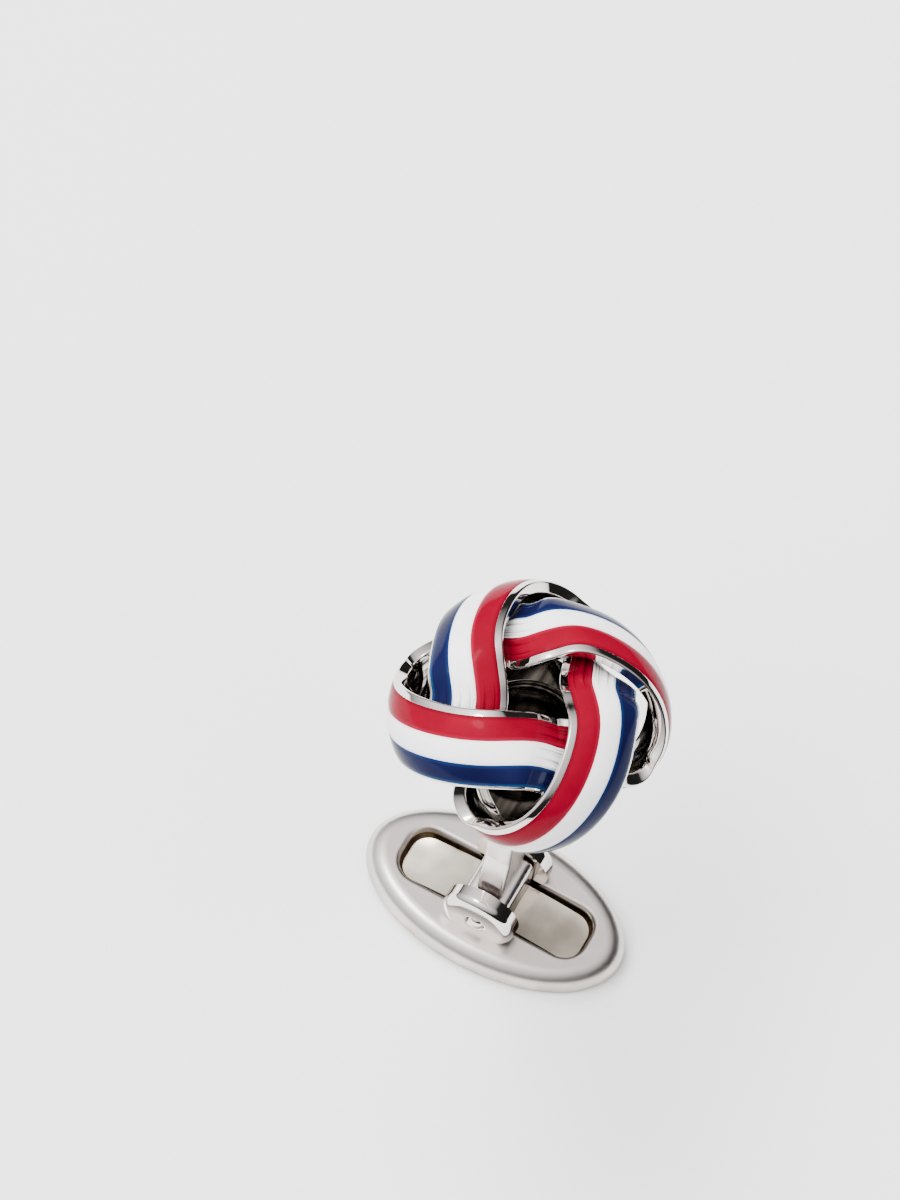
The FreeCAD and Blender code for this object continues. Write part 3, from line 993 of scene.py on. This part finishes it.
@dataclass
class ToggleBack:
    """Oval back with its recess, two ears, the pin through them and the spring."""

    # millimetres
    thick: float = 1.5
    round_top: float = 1.0
    round_low: float = 0.45
    floor: float = 0.5
    recess_end: float = 1.9
    recess_corner: float = 1.15
    lip: float = 0.25
    bend: float = 0.45
    ear_r: float = 2.0
    ear_in: float = 1.5
    ear_out: float = 2.5
    ear_round: float = 0.48
    mouth: float = 0.16
    pin_r: float = 0.45
    pin_fit: float = 0.01
    pin_proud: float = 0.14
    pin_deep: float = 0.16
    spring_t: float = 0.2
    spring_side: float = 0.2
    spring_gap: float = 0.03
    spring_fit: float = 0.01
    cam: float = 1.25
    # flow values for the painted shade on the underside and lower edge, fading up the top's round,
    # and the painted shade with streaks in the recess, against the bright top
    edge_shade: float = 1.35
    fade_shade: tuple[float, float] = (1.3, 0.85)
    recess_shade: float = 2.0
    # counts, and the smallest ring of the spring as a share of its outline
    fade_rows: int = 6
    round_rows: int = 10
    quarter: int = 60
    ear_steps: int = 96
    pin_steps: int = 48
    spring_rows: int = 30
    spring_least: float = 0.02

    def __post_init__(self) -> None:
        """Take the oval's size and the pin's height from the frame."""
        low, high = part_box("toggle_back")
        self.length, self.width = (high.x - low.x) / MM, (high.y - low.y) / MM
        self.pin_z = frame["joints"][0]["pos_m"][2] / MM

    def oval(self, inset: np.ndarray) -> np.ndarray:
        """Ovals inside the outline by given distances, as rings of points."""
        count = 4 * self.quarter
        t = np.linspace(0, TURN, count, endpoint=False)
        a, b = self.length / 2, self.width / 2
        edge = np.stack([a * np.cos(t), b * np.sin(t)], -1)
        normal = unit(np.stack([b * np.cos(t), a * np.sin(t)], -1))
        return edge - np.asarray(inset)[:, None, None] * normal

    def pocket(self, grow: np.ndarray) -> np.ndarray:
        """Recess outlines, grown by given distances, as rings of points.

        Each point lies in the same direction from the middle as its neighbour on the
        oval at the edge of the flat top, so that no cell between them is crossed.

        Args:
            grow: Distances, one per ring.

        Returns:
            Rings by points by two.
        """
        edge = self.oval([self.round_top])[0]
        at = np.arctan2(edge[:, 1], edge[:, 0]) % TURN
        rings = []
        for g in np.asarray(grow):
            ring = rounded_rect(self.length - 2 * self.recess_end + 2 * g, 2 * self.ear_in + 2 * g,
                                self.recess_corner + g, 4 * self.quarter)[0]
            way = np.arctan2(ring[:, 1], ring[:, 0]) % TURN
            both = [np.interp(at, way, ring[:, k], period=TURN) for k in (0, 1)]
            rings.append(np.stack(both, -1))
        return np.stack(rings)

    def plate(self) -> np.ndarray:
        """Plate with its recess.

        Rings run from the middle of the underside out round the edge, in over the top
        and down the recess to the middle of its floor.

        Returns:
            Grid of rings by points.
        """
        q = arc(0, 90, self.round_rows)
        r, low, lip, bend = self.round_top, self.round_low, self.lip, self.bend
        rings = [
            self.oval([0.0]) * TINY,
            self.oval([low + HOLD]),
            self.oval(low * (1 - np.sin(q))),
            self.oval(r * (1 - np.cos(q))),
            self.oval([r + HOLD]),
            self.pocket([lip + HOLD]),
            self.pocket(lip * (1 - np.sin(q))),
            self.pocket(-bend * (1 - np.cos(q))),
            self.pocket([-bend - HOLD]),
            self.pocket([0.0]) * TINY,
        ]
        z = [[0.0, 0.0], low * (1 - np.cos(q)), self.thick - r + r * np.sin(q),
             [self.thick, self.thick], self.thick - lip * (1 - np.cos(q)),
             self.floor + bend * (1 - np.sin(q)), [self.floor, self.floor]]
        ring = np.concatenate(rings)
        height = np.broadcast_to(np.concatenate(z)[:, None], ring.shape[:2])
        return np.concatenate([ring, height[..., None]], -1)

    def disc(self, profile: np.ndarray, steps: int, side: int) -> np.ndarray:
        """Carry a profile of radius and distance along the pin round the pin's axis.

        Args:
            profile: Radius and distance from the middle plane.
            steps: Points round the axis.
            side: 1 or -1 for the two ends of the pin.

        Returns:
            Grid of profile points by steps.
        """
        grid = revolve(profile, steps)
        return np.stack([grid[..., 0], side * grid[..., 2], grid[..., 1] + self.pin_z], -1)

    def ear(self) -> np.ndarray:
        """Profile of an ear, from the pin hole round its rim and back.

        Returns:
            Radius and distance, closed on itself.
        """
        q = arc(0, 90, 12)
        r, hole, soft = self.ear_round, self.pin_r + self.pin_fit, self.mouth
        rim = np.stack([self.ear_r - r + r * np.cos(q), self.ear_out - r + r * np.sin(q)], -1)
        mouth = np.stack([hole + soft * (1 - np.sin(q)), self.ear_out - soft * (1 - np.cos(q))], -1)
        flat = [[self.ear_r - r - HOLD, self.ear_out], [hole + soft + HOLD, self.ear_out]]
        side = [[hole, self.ear_in], [self.ear_r, self.ear_in], [self.ear_r, self.ear_in + HOLD],
                [self.ear_r, self.ear_out - r - HOLD]]
        return np.concatenate([side, rim, flat, mouth])

    def pin(self) -> np.ndarray:
        """Profile of the pin with a domed head at each end."""
        q = arc(0, 90, 12)
        deep = self.pin_deep
        dome = self.ear_out - deep + (self.pin_proud + deep) * np.sin(q)
        head = np.stack([self.pin_r * np.cos(q), dome], -1)
        head[-1, 0] = TINY
        return np.concatenate([head[::-1] * [1, -1], head])

    def spring(self) -> tuple[np.ndarray, np.ndarray]:
        """Upper and lower faces of the bowed strip.

        The strip's outline is the recess outline made smaller; each ring shrinks to the
        middle, and the height follows a circle through the ends and the crest.

        Returns:
            Grid from the middle of the lower face to the middle of the upper face, and
            its flow values.
        """
        share = np.linspace(self.spring_least, 1, self.spring_rows)
        share = np.concatenate([share, share[::-1]])
        outline = self.pocket([-self.spring_side])[0]
        ring = outline[None] * np.stack([share, share], -1)[:, None]
        half = self.length / 2 - self.recess_end - self.spring_side
        crest = self.pin_z - self.cam - self.spring_gap - self.spring_t
        base = self.floor + self.spring_fit
        rise = crest - base
        big = (half ** 2 + rise ** 2) / (2 * rise)
        x = ring[..., 0]
        z = crest - big + np.sqrt(big ** 2 - x ** 2)
        z[self.spring_rows:] += self.spring_t
        grid = np.concatenate([ring, z[..., None]], -1)
        return grid, np.stack([x, ring[..., 1]], -1)

    def build(self) -> None:
        """Make the back, the pin and the spring."""
        plate = Surface()
        grid = self.plate()
        wall = np.zeros(grid.shape[:2])
        rows, fade = self.round_rows + 2, self.fade_rows
        # painted shade on the underside and lower edge, fading out over the top's round, and
        # painted shade with streaks in the recess
        wall[:rows] = self.edge_shade
        wall[rows:rows + fade] = np.linspace(*self.fade_shade, fade)[:, None]
        wall[-rows:] = self.recess_shade
        plate.add(grid, (False, True), True, np.stack([grid[..., 0], wall], -1))
        plate.build("toggle_plate_satin", ["toggle_back"], Body.TOGGLE, "rhodium_plate", PLATE)
        ears = Surface()
        for side in (-1, 1):
            ears.add(self.disc(self.ear(), self.ear_steps, side), (True, True))
        ears.build("toggle_ears_polished", ["toggle_back"], Body.TOGGLE, "rhodium_plate", RHODIUM)
        pin = Surface()
        pin.add(self.disc(self.pin(), self.pin_steps, 1), (False, True), True)
        pin.build("hinge_pin_polished", ["hinge_pin"], Body.TOGGLE, "rhodium_plate", RHODIUM)
        spring = Surface()
        grid, flow = self.spring()
        spring.add(grid, (False, True), True, flow)
        spring.build("leaf_spring_bright", ["leaf_spring"], Body.TOGGLE, "spring_steel",
                     SPRING_STEEL)


# Studio

@dataclass(frozen=True)
class Softbox:
    """A square soft light: direction in degrees, distance and size in metres, power."""

    name: str
    azimuth: float
    elevation: float
    away: float
    size: float
    watts: float


@dataclass
class Studio:
    """Pale floor, soft lights and the camera at the photograph's angle."""

    # camera in degrees and millimetres, its picture in pixels
    azimuth: float = 19.657
    elevation: float = 65.0
    roll: float = 9.764
    distance: float = 800.0
    target_z: float = 18.127
    offset_right: float = 3.553
    offset_up: float = -7.861
    focal_px: float = 16112.0
    image_px: float = 1200.0
    sensor: float = 36.0
    # floor and the height that the lights face, in metres
    floor_half: float = 3.0
    floor_drop: float = 2e-5
    aim: float = 0.012
    lights: tuple[Softbox, ...] = (
        Softbox("key", -65, 60, 0.6, 0.40, 5.5),
        Softbox("back", -140, 58, 0.6, 0.30, 6.0),
        Softbox("fill", 75, 50, 0.6, 0.50, 2.5),
    )
    sky_towards: tuple[float, float] = (-85, 66)
    sky_tint: Colour = (1.0, 0.995, 0.985)
    sky_stops: tuple[tuple[float, float], ...] = (
        (0.0, 0.02), (0.30, 0.03), (0.44, 0.5), (0.72, 1.2),
        (0.92, 2.0), (0.985, 3.5), (0.992, 16.0))

    def axes(self) -> np.ndarray:
        """Right, up and forward directions of the camera, one per row."""
        a, e, f = (math.radians(v) for v in (self.azimuth, self.elevation, self.roll))
        forward = np.array([-math.sin(a) * math.cos(e), math.cos(a) * math.cos(e), -math.sin(e)])
        right = np.array([math.cos(a), math.sin(a), 0.0])
        up = np.cross(right, forward)
        c, s = math.cos(f), math.sin(f)
        return np.stack([right * c + up * s, up * c - right * s, forward])

    def towards(self, azimuth: float, elevation: float) -> np.ndarray:
        """Direction seen from the knot.

        Args:
            azimuth: Degrees from the camera's own azimuth, anticlockwise from above.
            elevation: Degrees above the floor.

        Returns:
            Unit vector.
        """
        a, e = math.radians(self.azimuth + azimuth), math.radians(elevation)
        return np.array([math.sin(a) * math.cos(e), -math.cos(a) * math.cos(e), math.sin(e)])

    def stand(self, name: str, data: bpy.types.ID, axes: tuple[np.ndarray, ...],
              place: np.ndarray) -> bpy.types.Object:
        """Put a camera or a light in its place.

        Args:
            name: Name of the object.
            data: Camera or light.
            axes: Its right, up and backward directions.
            place: Its place in metres.

        Returns:
            The new object.
        """
        made = bpy.data.objects.new(name, data)
        matrix = np.eye(4)
        matrix[:3] = np.stack([*axes, place], -1)
        made.matrix_world = Matrix(matrix.tolist())
        bpy.context.scene.collection.objects.link(made)
        return made

    def camera(self) -> None:
        """Make the camera; it is moved sideways from the post's axis without turning."""
        right, up, forward = self.axes()
        place = np.array([0, 0, self.target_z]) - self.distance * forward
        place = (place - self.offset_right * right - self.offset_up * up) * MM
        data = bpy.data.cameras.new("camera")
        data.sensor_width = self.sensor
        data.lens = self.focal_px / self.image_px * self.sensor
        bpy.context.scene.camera = self.stand("camera", data, (right, up, -forward), place)

    def floor(self) -> None:
        """Make the floor."""
        mesh = bpy.data.meshes.new("floor")
        s, z = self.floor_half, -self.floor_drop
        mesh.from_pydata([(-s, -s, z), (s, -s, z), (s, s, z), (-s, s, z)], [], [(0, 1, 2, 3)])
        mesh.materials.append(PALE_FLOOR.material())
        made = bpy.data.objects.new("floor", mesh)
        bpy.context.scene.collection.objects.link(made)

    def softbox(self, box: Softbox) -> None:
        """Add a soft light that faces the knot and isn't mirrored in the metal.

        Args:
            box: The light.
        """
        back = self.towards(box.azimuth, box.elevation)
        right = unit(np.cross([0.0, 0.0, 1.0], back))
        data = bpy.data.lights.new(box.name, "AREA")
        data.size, data.energy = box.size, box.watts
        place = back * box.away + np.array([0, 0, self.aim])
        made = self.stand(box.name, data, (right, np.cross(back, right), back), place)
        made.visible_glossy = False

    def sky(self) -> None:
        """Pale surroundings, brightest high on the left and dark on the other side."""
        world = bpy.data.worlds.new("surroundings")
        bpy.context.scene.world = world
        world.use_nodes = True
        tree = world.node_tree
        place = tree.nodes.new("ShaderNodeTexCoord")
        lean = tree.nodes.new("ShaderNodeVectorMath")
        lean.operation = "DOT_PRODUCT"
        lean.inputs[1].default_value = self.towards(*self.sky_towards).tolist()
        ramp = tree.nodes.new("ShaderNodeValToRGB")
        tree.links.new(place.outputs["Generated"], lean.inputs[0])
        tree.links.new(lean.outputs["Value"], ramp.inputs["Fac"])
        tree.links.new(ramp.outputs["Color"], tree.nodes["Background"].inputs["Color"])
        stops = ramp.color_ramp.elements
        while len(stops) < len(self.sky_stops):
            stops.new(0.5)
        for stop, (where, grey) in zip(stops, self.sky_stops):
            stop.position = where
            stop.color = (*(grey * c for c in self.sky_tint), 1)

    def build(self) -> None:
        """Make the whole studio."""
        self.camera()
        self.floor()
        self.sky()
        for box in self.lights:
            self.softbox(box)


def main() -> None:
    """Build every sub-assembly and the studio."""
    logging.basicConfig(level=logging.INFO, format="%(name)s %(message)s")
    knot = KnotHead()
    knot.build()
    CoreCup().build(knot)
    Post().build()
    ToggleBack().build()
    Studio().build()


if __name__ == "__main__":
    main()
